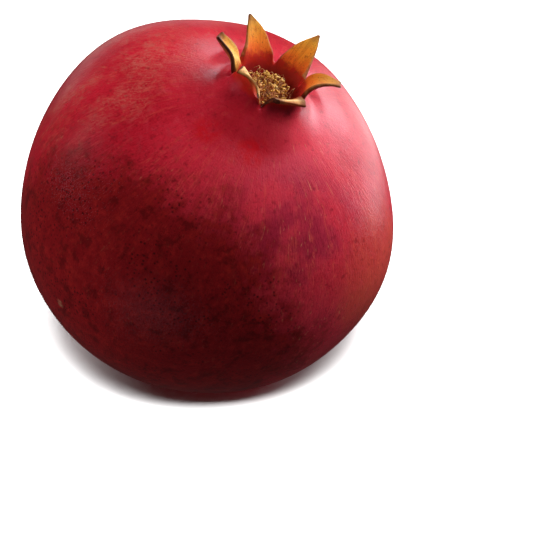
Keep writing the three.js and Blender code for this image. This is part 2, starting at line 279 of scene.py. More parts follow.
def swelling(point):
    """How far the skin stands out there from the plain round body."""
    outward = point.normalized()
    from_calyx = math.degrees(outward.angle(Z_AXIS))
    height = RIB_HEIGHT * math.cos(RIB_COUNT * math.atan2(outward.y, outward.x))
    height *= math.sin(math.radians(from_calyx))
    for azimuth, latitude, stand_out, width in CHEEKS:
        away = math.degrees(outward.angle(direction(azimuth, latitude)))
        height += stand_out * math.exp(-((away / width) ** 2))
    return height * smooth_step(from_calyx, CHEEK_FADE_START, CHEEK_FADE_END)


print("the fullest cheek stands out", round(max(cheek[2] for cheek in CHEEKS) / MM, 1), "mm")

# %% [markdown]
# ## The bent neck
#
# The neck leans a little off the body's axis, because the flower hung to one side as it grew. Turning the
# whole top would crease the shoulder, so the turn fades out from the neck to the shoulder. The sepals, the
# stamens and the mat are made upright and then turned by the same rule, so they stay where they grew.

# %% Lean the neck
NECK_BEND = math.radians(12.5)
NECK_BEND_AZIMUTH = 134
NECK_BEND_AXIS = direction(NECK_BEND_AZIMUTH + 90)
NECK_BEND_MIDDLE = Vector((0, 0, RIM_HEIGHT - 7 * MM))


def turn_over(point, share=1.0):
    """Leans a point of the upright neck over with it."""
    bend = Matrix.Rotation(NECK_BEND * share, 3, NECK_BEND_AXIS)
    return NECK_BEND_MIDDLE + bend @ (point - NECK_BEND_MIDDLE)


print("the neck leans over by", math.degrees(NECK_BEND), "degrees")

# %% [markdown]
# ## Cracks between the sepals
#
# Where two sepals part, the rim is split, deeply on the front side and hardly at all where they are still
# joined. Cutting the mesh open would leave loose edges. Drawing the rim's points down in a narrow notch, with
# a faint crease in the neck below it, looks the same and keeps the skin whole. The dark inside each split is
# painted shade in the finish.

# %% Split the rim
NOTCHES = {24: 1.0, 66: 0.3, 130: -0.4, 200: 0.8, 224: 2.6, 308: 2.4}  # azimuth: depth in millimetres
NOTCH_SPREAD = 5  # degrees
NOTCH_REACH = 3.2 * MM  # how far down the neck the skin is drawn down with the notch
CREASE_DEPTH = 0.2 * MM
CREASE_SPREAD = 5.5  # degrees
CRACK_SPREAD = 3.0  # degrees
CRACK_REACH = 2.5 * MM  # how far down the neck the painted shade of a crack goes
FULL_CRACK = 2.4 * MM  # a notch this deep is painted dark all the way in, as shade
CREASE_FROM = 1.2 * MM  # the depth of notch at which a crease starts, and at which it is full
CREASE_TO = 2.2 * MM


def notch_at(azimuth, width=NOTCH_SPREAD):
    """How deep the rim is split at an azimuth."""
    depth = 0.0
    for middle, notch in NOTCHES.items():
        away = (azimuth - middle + 180) % 360 - 180
        depth += notch * MM * math.exp(-((away / width) ** 2))
    return depth


def cracked_point(point):
    """Draws the rim down at each notch, and presses a crease in the neck below it."""
    azimuth = math.degrees(math.atan2(point.y, point.x))
    radius = math.hypot(point.x, point.y)
    near_rim = smooth_step(point.z, RIM_HEIGHT - NOTCH_REACH, RIM_HEIGHT)
    crease = CREASE_DEPTH * smooth_step(notch_at(azimuth, CREASE_SPREAD), CREASE_FROM, CREASE_TO) * near_rim
    if radius > RIM_MIDDLE and near_rim > 0:
        point.x *= 1 - crease / radius
        point.y *= 1 - crease / radius
    point.z -= notch_at(azimuth) * near_rim * smooth_step(radius, 0, CUP_FLOOR_RADIUS)
    return point


def grown_point(point):
    """Where a point of the spun skin lies once the cheeks have swollen and the neck has bent."""
    radius = math.hypot(point.x, point.y)
    point = cracked_point(point + point.normalized() * swelling(point))
    if point.z > 0:
        point = turn_over(point, 1 - smooth_step(radius, NECK_RADIUS, SHOULDER_RADIUS))
    return point


print("the deepest crack is", round(max(notch_at(azimuth) for azimuth in NOTCHES) / MM, 1), "mm deep")

# %% [markdown]
# ## The sepals
#
# Six thick, leathery sepals grow out of the rim. Each one is a strip of the rim's faces that is extruded row
# by row and laid along a middle line that leans out more and more, so the crown and the body stay one skin.
# One has dried folded lengthwise and one arches over, two stand up wide and pointed, and two curl over
# towards the front.

# %% The sepals' sizes
# first and last are the azimuths where the sepal leaves the rim. length and width are in millimetres, and
# skew makes its later side the longer one. lean is its angle from the neck's axis at the root, and curl is
# how much more it leans at the tip. twist is positive where its later side curls more, sway turns it
# sideways, and bow bulges its middle sideways in millimetres. fold is how far round its edges close in, full
# is high where it stays wide, tip is the share of its width left at the end, and thin is how much its edges
# thin out.
SEPALS = {
    "arched": dict(first=24, last=64, length=10.2, skew=0, width=7.6, lean=14, curl=82, twist=0, sway=0,
                   bow=0, fold=55, full=2.6, tip=0.35, thin=0.5),
    "broad": dict(first=68, last=128, length=12.0, skew=0, width=8.3, lean=35, curl=13, twist=0, sway=9,
                  bow=0.5, fold=25, full=2.2, tip=0.06, thin=0.6),
    "tall": dict(first=132, last=200, length=11.2, skew=0, width=8.0, lean=37, curl=12, twist=0, sway=9,
                 bow=-0.6, fold=30, full=2.4, tip=0.06, thin=0.6),
    "folded": dict(first=200, last=224, length=8.9, skew=0, width=5.8, lean=58, curl=2, twist=0, sway=-3,
                   bow=0, fold=75, full=8, tip=0.75, thin=0.3),
    "front_left": dict(first=224, last=308, length=3.3, skew=-0.1, width=8.5, lean=-36, curl=92,
                       twist=-0.25, sway=48, bow=0.9, fold=6, full=8, tip=0.85, thin=0),
    "front_right": dict(first=308, last=384, length=2.6, skew=0.35, width=8.2, lean=25, curl=72, twist=0.3,
                        sway=0, bow=0, fold=6, full=8, tip=0.85, thin=0),
}
print("there are", len(SEPALS), "sepals, the longest", max(s["length"] for s in SEPALS.values()), "mm")

# %% The sepal's middle line
MIDDLE_LINE_STEPS = 20


def sepal_axes(sepal):
    """Which ways are out and across where the sepal grows."""
    azimuth = (sepal["first"] + sepal["last"]) / 2
    return direction(azimuth), direction(azimuth + 90)


def sepal_heading(sepal, share, across_share):
    """Which way the sepal points at a share of its length, at a place across its width."""
    lean = math.radians(sepal["lean"] + sepal["curl"] * share * (1 + sepal["twist"] * across_share))
    sway = math.radians(sepal["sway"] * share)
    outward, across = sepal_axes(sepal)
    level = outward * math.sin(lean) + Z_AXIS * math.cos(lean)
    return level * math.cos(sway) + across * math.sin(sway)


def sepal_middle(sepal, share, across_share):
    """The place of the sepal's middle line, added up in short steps from the rim."""
    outward, across = sepal_axes(sepal)
    steps = max(1, round(share * MIDDLE_LINE_STEPS))
    step_length = sepal["length"] * MM * (1 + sepal["skew"] * across_share) * share / steps
    place = outward * RIM_MIDDLE + Z_AXIS * RIM_HEIGHT
    for step in range(steps):
        place += sepal_heading(sepal, share * (step + 0.5) / steps, across_share) * step_length
    return place + across * sepal["bow"] * MM * math.sin(math.pi * share)


tall_tip = sepal_middle(SEPALS["tall"], 1.0, 0.0)
print("the tall sepal's tip is", round((tall_tip.z - RIM_HEIGHT) / MM, 1), "mm above the rim")

# %% A point of the blade
SEPAL_ROOT_THICKNESS = 1.5 * MM
SEPAL_TIP_THICKNESS = 0.8 * MM
WIDE_FROM = 0.35  # the shares of its length from which a sepal has its own width,
FOLDED_FROM = 0.5  # its own fold,
WHOLE_FROM = 0.3  # and no trace of the rim's notches


def sepal_point(sepal, share, across_share, side):
    """A point of the blade. across_share goes from -1 to 1, and side is 1 on the inner face, -1 outside."""
    heading = sepal_heading(sepal, share, across_share)
    across = sepal_axes(sepal)[1]
    across = (across - heading * across.dot(heading)).normalized()
    inward = heading.cross(across)
    root_half_arc = math.radians(sepal["last"] - sepal["first"]) / 2
    root_width = 2 * root_half_arc * RIM_MIDDLE
    taper = max(1 - share ** sepal["full"], sepal["tip"])
    opened = smooth_step(share, 0, FOLDED_FROM)
    width = blend(root_width, sepal["width"] * MM * taper, smooth_step(share, 0, WIDE_FROM))
    half_arc = blend(root_half_arc, math.radians(sepal["fold"]) * math.sqrt(taper), opened)
    arc_radius = width / 2 / half_arc
    thickness = blend(SEPAL_ROOT_THICKNESS, SEPAL_TIP_THICKNESS, share)
    thickness *= 1 - sepal["thin"] * opened * across_share**4
    depth = arc_radius - side * thickness / 2
    turn = across_share * half_arc
    place = sepal_middle(sepal, share, across_share) + across * depth * math.sin(turn)
    place += inward * (arc_radius - depth * math.cos(turn))
    azimuth = blend(sepal["first"], sepal["last"], (across_share + 1) / 2)
    place.z -= notch_at(azimuth) * (1 - smooth_step(share, 0, WHOLE_FROM))
    return turn_over(place)


blade = [sepal_point(SEPALS["broad"], 0.4, across_share, 1) for across_share in (-1, 1)]
print("the broad sepal is", round((blade[1] - blade[0]).length / MM, 1), "mm across near its middle")

# %% [markdown]
# ## Marks on the skin
#
# The modelling has to find the rim's faces, and the finish has to know what grows where: how far along a
# sepal, on which face, how near its edge. Vertex groups could hold this, but a mesh's own attributes are
# plain numbers that extruding copies to the new rows. They are written while the skin is still upright.

# %% Mark the points, then grow the body
MODELLING_MARKS = ("column", "side")
FINISH_MARKS = ("sepal_share", "inner_face", "blade_edge", "sepal_number", "crack")
NEARLY = 0.1 * MM  # the room for error where a point's place says what it belongs to


def start_marks(piece):
    for name in MODELLING_MARKS:
        piece.data.attributes.new(name, "INT", "POINT")
    for name in FINISH_MARKS:
        piece.data.attributes.new(name, "FLOAT", "POINT")


def mark_skin(piece):
    """Columns are counted round the neck. sepal_share is below 0 under the rim: down the neck and cup."""
    marks = piece.data.attributes
    cup_depth = RIM_HEIGHT - CUP_FLOOR_HEIGHT
    for index, vertex in enumerate(piece.data.vertices):
        place = vertex.co
        radius = math.hypot(place.x, place.y)
        azimuth = math.degrees(math.atan2(place.y, place.x)) % 360
        inside = place.z > CUP_FLOOR_HEIGHT - NEARLY and radius < CUP_MOUTH_RADIUS + NEARLY
        on_top = inside or radius <= SHOULDER_RADIUS
        split = min(max(notch_at(azimuth, CRACK_SPREAD) / FULL_CRACK, 0.0), 1.0)
        values = {
            "column": round(azimuth / COLUMN_TURN) % COLUMNS,
            "side": 1 if inside else -1,
            "inner_face": 1.0 if inside else 0.0,
            "sepal_share": max((place.z - RIM_HEIGHT) / cup_depth, -1.0) if on_top else -1.0,
            "crack": split * smooth_step(place.z, RIM_HEIGHT - CRACK_REACH, RIM_HEIGHT),
        }
        for name, value in values.items():
            marks[name].data[index].value = value


start_marks(skin)
mark_skin(skin)
reshape(skin, grown_point)
print("the finish will read the marks", FINISH_MARKS)

# %% [markdown]
# ## Extruding the sepals
#
# For each sepal the rim's faces between its two edges are selected and extruded, and every new row is moved
# to its place along the blade. Six separate blades could be joined on instead, but then a seam would show
# where the skin of the neck runs up into them.

# %% Find the rim's faces
def columns_of(sepal):
    """The rim's columns that the sepal grows from, with the shared ones at both its edges."""
    return [round(azimuth / COLUMN_TURN) for azimuth in (sepal["first"], sepal["last"])]


def select_rim_faces(mesh, sepal, marks):
    first, last = columns_of(sepal)
    wanted = {column % COLUMNS for column in range(first, last + 1)}
    for face in mesh.faces:
        sides = {vertex[marks["side"]] for vertex in face.verts}
        on_rim = all(abs(vertex[marks["sepal_share"]]) < 0.001 for vertex in face.verts)
        inside = all(vertex[marks["column"]] in wanted for vertex in face.verts)
        face.select_set(on_rim and inside and sides == {-1, 1})
    mesh.select_flush_mode()


print("the broad sepal grows from the columns", columns_of(SEPALS["broad"]))

# %% Extrude them row by row
SEPAL_ROWS = 10


def extrude_sepal(piece, number, sepal):
    mesh = edit(piece)
    bpy.ops.mesh.select_mode(type="FACE")
    marks = {name: mesh.verts.layers.int[name] for name in MODELLING_MARKS}
    marks.update({name: mesh.verts.layers.float[name] for name in FINISH_MARKS})
    select_rim_faces(mesh, sepal, marks)
    for vertex in mesh.verts:
        if vertex.select:
            vertex[marks["sepal_number"]] = number
    first, last = columns_of(sepal)
    for row in range(1, SEPAL_ROWS + 1):
        bpy.ops.mesh.extrude_region_move()
        mesh = bmesh.from_edit_mesh(piece.data)
        share = row / SEPAL_ROWS
        for vertex in mesh.verts:
            if vertex.select:
                along = (vertex[marks["column"]] - first) % COLUMNS
                across_share = 2 * along / (last - first) - 1
                vertex.co = sepal_point(sepal, share, across_share, vertex[marks["side"]])
                vertex[marks["sepal_share"]] = share
                vertex[marks["blade_edge"]] = abs(across_share)
                vertex[marks["sepal_number"]] = number
        bmesh.update_edit_mesh(piece.data)
    bpy.ops.object.mode_set(mode="OBJECT")


for number, sepal in enumerate(SEPALS.values(), start=1):
    extrude_sepal(skin, number, sepal)
print("with its sepals the skin has", len(skin.data.polygons), "faces")

# %% [markdown]
# ## Smoothing and setting down
#
# Growth leaves no corners, so the skin is subdivided twice, which rounds the sepals' edges and tips too.
# Then the fruit leans over and is set on the table. Its own weight has pressed a small flat spot where it
# rests.

# %% Smooth the skin and set it down
def set_down(piece):
    """Leans the piece over with the fruit and sets it down. Its mesh moves, and its object stays."""
    piece.data.transform(STAND)
    for vertex in piece.data.vertices:
        vertex.co.z = max(vertex.co.z, 0.0)  # the flat spot
    select_only(piece)
    bpy.ops.object.shade_smooth()


apply_modifier(skin, "SUBSURF", levels=2, render_levels=2)
set_down(skin)
print("the smooth skin has", len(skin.data.polygons), "faces")

# %% [markdown]
# ## One anther and one filament
#
# The flower's stamens dry in the cup: golden anthers, shrunken and curled, on thin filaments that have bent
# over and matted together. There are hundreds and each is tiny, so each has only a few dozen faces. A curve
# with a bevel would also make a filament, but a tube that a rule bends is quicker.

# %% One anther
ANTHER_LENGTH = 1.7 * MM
ANTHER_WIDTH = 0.95 * MM
ANTHER_THICKNESS = 0.7 * MM
ANTHER_BEND = 0.9
ANTHER_WAIST = 0.25
GROOVE_DEPTH = 0.35
GROOVE_WIDTH = 0.13


def mark_part(piece, value):
    """Marks what part of a stamen the mesh is, for the finish: 1 an anther, 0.5 a filament, 0 the mat."""
    part = piece.data.attributes.new("stamen_part", "FLOAT", "POINT")
    for mark in part.data:
        mark.value = value


def model_anther():
    """A dried anther: two long lobes with a groove between them, bent like a bean."""
    deselect_all()
    bpy.ops.mesh.primitive_uv_sphere_add(segments=8, ring_count=6, radius=0.5)
    anther = bpy.context.object
    anther.name = "anther"

    def dried(point):
        groove = GROOVE_DEPTH * math.exp(-((point.y / GROOVE_WIDTH) ** 2)) * (point.x > 0)
        groove *= 1 - (2 * point.z) ** 2
        point.x = (point.x * (1 - groove) - ANTHER_BEND * point.z**2) * ANTHER_THICKNESS
        point.y *= ANTHER_WIDTH * (1 + ANTHER_WAIST * math.cos(point.z * math.tau))
        point.z *= ANTHER_LENGTH
        return point

    reshape(anther, dried)
    mark_part(anther, 1.0)
    return anther


anther = model_anther()
print("one anther has", len(anther.data.polygons), "faces")

# %% One filament
FILAMENT_STEPS = 13
FILAMENT_RADIUS = 0.075 * MM
FILAMENT_TAPER = 0.35


def model_filament():
    """A straight tube one unit long, which each copy then bends."""
    deselect_all()
    bpy.ops.mesh.primitive_circle_add(vertices=4, radius=1.0, fill_type="NOTHING")
    filament = bpy.context.object
    filament.name = "filament"
    edit(filament)
    bpy.ops.mesh.select_all(action="SELECT")
    for step in range(FILAMENT_STEPS):
        bpy.ops.mesh.extrude_region_move(TRANSFORM_OT_translate={"value": (0, 0, 1 / FILAMENT_STEPS)})
    bpy.ops.object.mode_set(mode="OBJECT")
    mark_part(filament, 0.5)
    return filament


filament = model_filament()
print("one filament has", len(filament.data.polygons), "faces")

# %% [markdown]
# ## The tuft
#
# The stamens stand in spirals, as they grew, but each has dried its own way. Copies are laid out by the
# golden angle, and seeded draws choose how each stands, bends and has shrunk, so that the tuft is the same
# each time. A particle system would scatter them too, but it couldn't keep them inside the cup.

# %% Bend a copy of the filament
draw = random.Random(11)


def copy_of(source, name):
    """A copy with a mesh of its own."""
    piece = source.copy()
    piece.data = source.data.copy()
    piece.name = name
    bpy.context.scene.collection.objects.link(piece)
    return piece


def bezier(start, pull, end, share):
    return start * (1 - share) ** 2 + pull * 2 * share * (1 - share) + end * share**2


def bent_filament(start, pull, end, waves, wave_size):
    """A copy of the filament along a curve, with a curl that swings to its sides."""
    piece = copy_of(filament, "filament_copy")
    swing = draw.uniform(0, math.tau)
    across = (end - start).orthogonal().normalized()

    def along_curve(point):
        share = point.z
        ahead = bezier(start, pull, end, share + 0.01) - bezier(start, pull, end, share)
        other = ahead.cross(across).normalized()
        side = other.cross(ahead).normalized()
        wave = swing + share * waves * math.tau
        place = bezier(start, pull, end, share)
        place += (side * math.cos(wave) + other * math.sin(wave)) * wave_size * math.sin(math.pi * share)
        thin = FILAMENT_RADIUS * (1 - FILAMENT_TAPER * share)
        return turn_over(place + side * point.x * thin + other * point.y * thin)

    reshape(piece, along_curve)
    return piece


middle = bezier(Vector((0, 0, 0)), Vector((0, 2, 4)), Vector((0, 4, 0)), 0.5)
print("a curve from 0 to 4 mm that is pulled to 4 mm rises to", middle.z, "mm")

# %% Shrink and place a copy of the anther
SHRINKING = 0.9
LUMPS = 2.6  # along an anther


def placed_anther(middle, size):
    piece = copy_of(anther, "anther_copy")
    turn = Matrix.Rotation(draw.uniform(0, math.tau), 3, "Z")
    tip = Matrix.Rotation(math.radians(draw.uniform(35, 115)), 3, "X")
    roll = Matrix.Rotation(draw.uniform(0, math.tau), 3, "Z")
    grown = Vector((draw.uniform(0, 9), draw.uniform(0, 9), 0))

    def shrunken(point):
        lump = 1 + SHRINKING * noise.noise(point / ANTHER_LENGTH * LUMPS + grown)
        return turn_over(middle + (turn @ tip @ roll @ point) * size * lump)

    reshape(piece, shrunken)
    return piece


print("lumps and hollows change an anther by up to", SHRINKING, "of its size")

# %% Grow the tuft
STAMEN_COUNT = 160
LOOSE_FILAMENT_COUNT = 46
MAT_TOP = CUP_FLOOR_HEIGHT + 1.0 * MM
TUFT_REACH = 5.4 * MM
TUFT_MIDDLE = direction(140) * 0.7 * MM  # the tuft has sunk to one side of the cup
LOOSE_REACH = 6.3 * MM
LOWEST_ANTHER = 0.8  # above the mat, in millimetres
HIGHEST_ANTHER = 7.6
TUFT_FALL = 3.2  # how much lower the tuft is at its edge
ROOT_DEPTH = 0.4 * MM  # in the mat
ROOT_REACH = 0.8  # of the anther's
PULL_ASIDE = 1.4 * MM
GOLDEN_ANGLE = 137.5


def grow_stamens():
    pieces = []
    for index in range(STAMEN_COUNT):
        azimuth = index * GOLDEN_ANGLE + draw.uniform(-15, 15)
        share = math.sqrt((index + 0.5) / STAMEN_COUNT)
        reach = TUFT_REACH * share
        height = draw.uniform(LOWEST_ANTHER, HIGHEST_ANTHER - TUFT_FALL * share) * MM
        end = TUFT_MIDDLE + direction(azimuth) * reach + Z_AXIS * (MAT_TOP + height)
        start = TUFT_MIDDLE + direction(azimuth + draw.uniform(-80, 80)) * reach * ROOT_REACH
        start += Z_AXIS * (MAT_TOP - ROOT_DEPTH)
        pull = start.lerp(end, 0.5) + direction(draw.uniform(0, 360)) * PULL_ASIDE
        pull.z = MAT_TOP + height * draw.uniform(0.7, 1.3)
        pieces.append(bent_filament(start, pull, end, 0.7, 0.15 * MM))
        pieces.append(placed_anther(end, draw.uniform(0.42, 0.85)))
    for index in range(LOOSE_FILAMENT_COUNT):
        start = direction(draw.uniform(0, 360)) * draw.uniform(2, 6.2) * MM + Z_AXIS * MAT_TOP
        end = start + direction(draw.uniform(0, 360)) * draw.uniform(1.5, 4) * MM
        level = Vector((end.x, end.y, 0))
        if level.length > LOOSE_REACH:
            end -= level * (1 - LOOSE_REACH / level.length)
        end.z = MAT_TOP + draw.uniform(1.0, 5.0) * MM
        pull = start.lerp(end, 0.5)
        pull.z = MAT_TOP + draw.uniform(5, 11) * MM
        pieces.append(bent_filament(start, pull, end, draw.uniform(0.5, 2), 0.35 * MM))
    return pieces


stamen_pieces = grow_stamens()
print("the tuft has", len(stamen_pieces), "anthers and filaments")

# %% [markdown]
# ## The mat
#
# Fallen stamens and dust have felted into a bed on the floor of the cup. Only its uneven top is seen between
# the filaments, so it is a low disc whose top is lifted and sunk by noise. The tuft and its bed are one
# bunch, so all of it is joined into one piece.

# %% Model the mat
MAT_RADIUS = 6.7 * MM
MAT_RINGS = 8
MAT_LUMPS = [(0.5 * MM, 900), (0.35 * MM, 2200)]  # their height, and how many lie in a metre


def model_mat():
    mat_floor = CUP_FLOOR_HEIGHT - 0.1 * MM
    outline = [(0, mat_floor), (MAT_RADIUS, mat_floor), (MAT_RADIUS, MAT_TOP - 0.3 * MM)]
    outline += [(MAT_RADIUS * (1 - ring / MAT_RINGS), MAT_TOP) for ring in range(1, MAT_RINGS + 1)]
    mat = draw_outline("stamen_tuft", outline)
    spin_outline(mat, 40)

    def matted(point):
        if point.z > MAT_TOP - NEARLY:
            point.z += sum(height * noise.noise(point * number) for height, number in MAT_LUMPS)
        return turn_over(point)

    reshape(mat, matted)
    mark_part(mat, 0.0)
    return mat


tuft = model_mat()
print("the mat has", len(tuft.data.polygons), "faces")

# %% Join the tuft and set it down
select_only(tuft)
for piece in stamen_pieces:
    piece.select_set(True)
bpy.ops.object.join()
bpy.data.objects.remove(anther)
bpy.data.objects.remove(filament)
set_down(tuft)
print("the tuft has", len(tuft.data.polygons), "faces")

# %% [markdown]
# ## The stub of the stalk
#
# The stalk was cut short with shears. It is a woody peg, a little wider where it was cut, with ridged bark
# and a flat end that shows pale wood round a darker pith. Its outline is drawn and spun like the skin's, and
# a rule adds the ridges.

# %% Spin the stalk
STALK_RADIUS = 2.9 * MM
STALK_STAND_OUT = 3.2 * MM
STALK_SUNK = 1.5 * MM
RIDGE_COUNT = 9
RIDGE_TWIST = 500  # radians in a metre
RIDGE_HEIGHT = 0.12 * MM
KNOB_HEIGHT = 0.25 * MM
KNOBS = 1500  # in a metre
BARK_FROM = 1.9 * MM  # distances from the axis between which the bark starts
BARK_TO = 2.3 * MM
DIMPLE_FLOOR = -STALK_HALF_LENGTH + DIMPLE_DEPTH
STALK_CUT = DIMPLE_FLOOR - STALK_STAND_OUT


def model_stalk():
    outline = [(0, STALK_CUT + 0.25 * MM), (0.6 * MM, STALK_CUT + 0.2 * MM), (1.7 * MM, STALK_CUT)]
    outline += [(2.35 * MM, STALK_CUT + 0.1 * MM), (2.5 * MM, STALK_CUT + 0.35 * MM)]
    outline += [(2.3 * MM, DIMPLE_FLOOR - 1.6 * MM), (2.35 * MM, DIMPLE_FLOOR - 0.9 * MM)]
    outline += [(STALK_RADIUS, DIMPLE_FLOOR), (STALK_RADIUS, DIMPLE_FLOOR + STALK_SUNK)]
    outline += [(0, DIMPLE_FLOOR + STALK_SUNK)]
    stalk = draw_outline("stalk_end", outline)
    spin_outline(stalk, 28)
    apply_modifier(stalk, "SUBSURF", levels=2, render_levels=2)

    def ridged(point):
        radius = math.hypot(point.x, point.y)
        azimuth = math.atan2(point.y, point.x)
        relief = RIDGE_HEIGHT * math.sin(azimuth * RIDGE_COUNT + point.z * RIDGE_TWIST)
        relief += KNOB_HEIGHT * noise.noise(point * KNOBS)
        relief *= smooth_step(radius, BARK_FROM, BARK_TO)
        return point + Vector((math.cos(azimuth), math.sin(azimuth), 0)) * relief

    reshape(stalk, ridged)
    return stalk


stalk = model_stalk()
set_down(stalk)
print("the stalk has", len(stalk.data.polygons), "faces")

# %% [markdown]
# ## How the finishes are made
#
# A finish is a tree of shader nodes: noise and dots that choose between colours, and a bump that breaks up
# the light. Painted images could do it too, but they blur up close and stretch round a ball. Nodes stay
# sharp, and they read a point's own place, so a pattern keeps its real size on every piece.

# %% Helpers for nodes
def new_material(name):
    material = bpy.data.materials.new(name)
    material.use_nodes = True
    tree = material.node_tree
    tree.nodes.clear()
    return material, tree


def add_node(tree, kind, inputs=None, **settings):
    """Adds a node with these settings. An input is a number, a colour or another node's output."""
    node = tree.nodes.new(kind)
    for name, value in settings.items():
        setattr(node, name, value)
    for key, value in (inputs or {}).items():
        if isinstance(value, bpy.types.NodeSocket):
            tree.links.new(value, node.inputs[key])
        else:
            node.inputs[key].default_value = value
    return node


def math_node(tree, operation, first, second=0.0, third=0.0):
    inputs = {0: first, 1: second, 2: third}
    return add_node(tree, "ShaderNodeMath", inputs, operation=operation).outputs[0]


def combined(tree, operation, values):
    """All the values, put together one after another by the same operation."""
    result = values[0]
    for value in values[1:]:
        result = math_node(tree, operation, result, value)
    return result


def product(tree, *values):
    return combined(tree, "MULTIPLY", values)


def total(tree, *values):
    return combined(tree, "ADD", values)


def strongest(tree, *values):
    return combined(tree, "MAXIMUM", values)


def vector_node(tree, operation, inputs, output=0):
    return add_node(tree, "ShaderNodeVectorMath", inputs, operation=operation).outputs[output]


print("node helpers are ready")

# %% Helpers for colours and patterns
def colour_ramp(tree, share, stops):
    """The colours of stops, given as (position, (red, green, blue)), along share."""
    node = add_node(tree, "ShaderNodeValToRGB", {"Fac": share})
    elements = node.color_ramp.elements
    elements.remove(elements[0])
    elements[0].position = stops[0][0]
    elements[0].color = (*stops[0][1], 1)
    for position, colour in stops[1:]:
        elements.new(position).color = (*colour, 1)
    return node.outputs["Color"]


def tint(tree, share, under, over):
    """Lays the colour over on the colour under, by share."""
    node = add_node(tree, "ShaderNodeMix", {0: share}, data_type="RGBA")
    for socket, value in ((node.inputs[6], under), (node.inputs[7], over)):
        if isinstance(value, bpy.types.NodeSocket):
            tree.links.new(value, socket)
        else:
            socket.default_value = (*value, 1)
    return node.outputs[2]


def spread(tree, value, low, high, to_low=0.0, to_high=1.0):
    """Stretches value from low and high to to_low and to_high, smoothly and without going past them."""
    node = add_node(
        tree,
        "ShaderNodeMapRange",
        {"Value": value, "From Min": low, "From Max": high, "To Min": to_low, "To Max": to_high},
        interpolation_type="SMOOTHSTEP",
    )
    return node.outputs["Result"]


def noise_value(tree, place, scale, detail=2.0, roughness=0.5, distortion=0.0):
    node = add_node(
        tree,
        "ShaderNodeTexNoise",
        {"Vector": place, "Scale": scale, "Detail": detail, "Roughness": roughness, "Distortion": distortion},
    )
    return node.outputs["Fac"]


def mark_value(tree, name):
    return add_node(tree, "ShaderNodeAttribute", attribute_name=name).outputs["Fac"]


print("pattern helpers are ready")

# %% Helpers for places on the fruit
def fruit_place(tree):
    """The point's place in the fruit's own frame."""
    coordinates = add_node(tree, "ShaderNodeTexCoord")
    back = add_node(
        tree,
        "ShaderNodeMapping",
        {"Vector": coordinates.outputs["Object"], "Location": FRUIT_MIDDLE, "Rotation": (0, FRUIT_LEAN, 0)},
        vector_type="TEXTURE",
    )
    return back.outputs["Vector"]


def streak_place(tree, place, fineness, along):
    """A place that changes fast round the fruit's axis and slowly along it, for streaks from end to end."""
    flat = vector_node(tree, "MULTIPLY", {0: place, 1: (1, 1, 0)})
    round_axis = vector_node(tree, "NORMALIZE", {0: flat})
    wide = vector_node(tree, "SCALE", {0: round_axis, "Scale": fineness})
    tall = vector_node(tree, "MULTIPLY", {0: place, 1: (0, 0, along)})
    return vector_node(tree, "ADD", {0: wide, 1: tall})


def distance_from_axis(tree, place):
    flat = vector_node(tree, "MULTIPLY", {0: place, 1: (1, 1, 0)})
    return vector_node(tree, "LENGTH", {0: flat}, "Value")


def facing(tree, place, azimuth, latitude, narrow, wide):
    """1 within narrow degrees of a direction from the fruit's middle, and 0 more than wide degrees away."""
    outward = vector_node(tree, "NORMALIZE", {0: place})
    share = vector_node(tree, "DOT_PRODUCT", {0: outward, 1: direction(azimuth, latitude)}, "Value")
    return spread(tree, share, math.cos(math.radians(wide)), math.cos(math.radians(narrow)))


def finish_surface(tree, colour, roughness, height, distance, strength):
    """The shader at the end of the tree, with its bump."""
    bump = add_node(
        tree, "ShaderNodeBump", {"Height": height, "Distance": distance, "Strength": strength}
    )
    surface = add_node(
        tree,
        "ShaderNodeBsdfPrincipled",
        {"Base Color": colour, "Roughness": roughness, "Normal": bump.outputs["Normal"]},
    )
    add_node(tree, "ShaderNodeOutputMaterial", {"Surface": surface.outputs["BSDF"]})
    return surface


def dress(piece, material, node_name):
    """Gives the piece its finish, and puts it in place of the frame's plain body."""
    piece.data.materials.clear()
    piece.data.materials.append(material)
    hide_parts(node_name)
    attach(piece, "root")
    print(piece.name, "has a finish of", len(material.node_tree.nodes), "nodes")


print("place helpers are ready")

# %% [markdown]
# ## The rind's ground colours
#
# A ripe rind is crimson with brighter clouds, and plum and orange where it was turning. It is rosier on the
# side towards the key light and maroon on the side turned from it, with a ragged edge between light and dark.
# These two are partly the rind's own blush and maroon, and partly painted light and painted shade.
# One wide ramp could hold all of these, but tints laid over each other, as a painter glazes, can each be
# moved alone.

# %% Clouds, blush with painted light, plum and orange
CRIMSON = (0.38, 0.0055, 0.016)
BRIGHT_RED = (0.60, 0.013, 0.032)
ROSE = (0.58, 0.050, 0.080)
PLUM = (0.20, 0.007, 0.030)
ORANGE_RED = (0.48, 0.060, 0.030)

rind_finish, tree = new_material("pomegranate_rind")
place = fruit_place(tree)
clouds = noise_value(tree, place, 30, detail=4, roughness=0.6)
blotches = noise_value(tree, place, 60, detail=4, roughness=0.6)
mottle = noise_value(tree, place, 420, detail=3, roughness=0.65)
grain = noise_value(tree, place, 1900, detail=2, roughness=0.6)

rind_colour = colour_ramp(tree, clouds, [(0.34, CRIMSON), (0.62, BRIGHT_RED)])
ZONES = [  # where it faces and fades, the pattern that breaks it up with its range, and its colour
    # the rose zone is partly the rind's own blush and partly painted light, lighter and pinker towards the
    # key light and the sheens
    ((5, 45, 15, 75), (clouds, 0.3, 0.6, 0.2, 0.5), ROSE),
    ((-16, 40, 6, 34), (blotches, 0.40, 0.58, 0.0, 0.7), PLUM),
    ((22, 22, 6, 24), (clouds, 0.3, 0.6, 0.4, 0.8), ORANGE_RED),
]
for where, broken_up, zone_colour in ZONES:
    zone = product(tree, facing(tree, place, *where), spread(tree, *broken_up))
    rind_colour = tint(tree, zone, rind_colour, zone_colour)
print("the ground colours take", len(tree.nodes), "nodes")

# %% The maroon side, partly painted shade
MAROON = (0.185, 0.0052, 0.0070)
GLOW = (0.28, 0.010, 0.009)
DARK_PATCH = (0.075, 0.0025, 0.003)
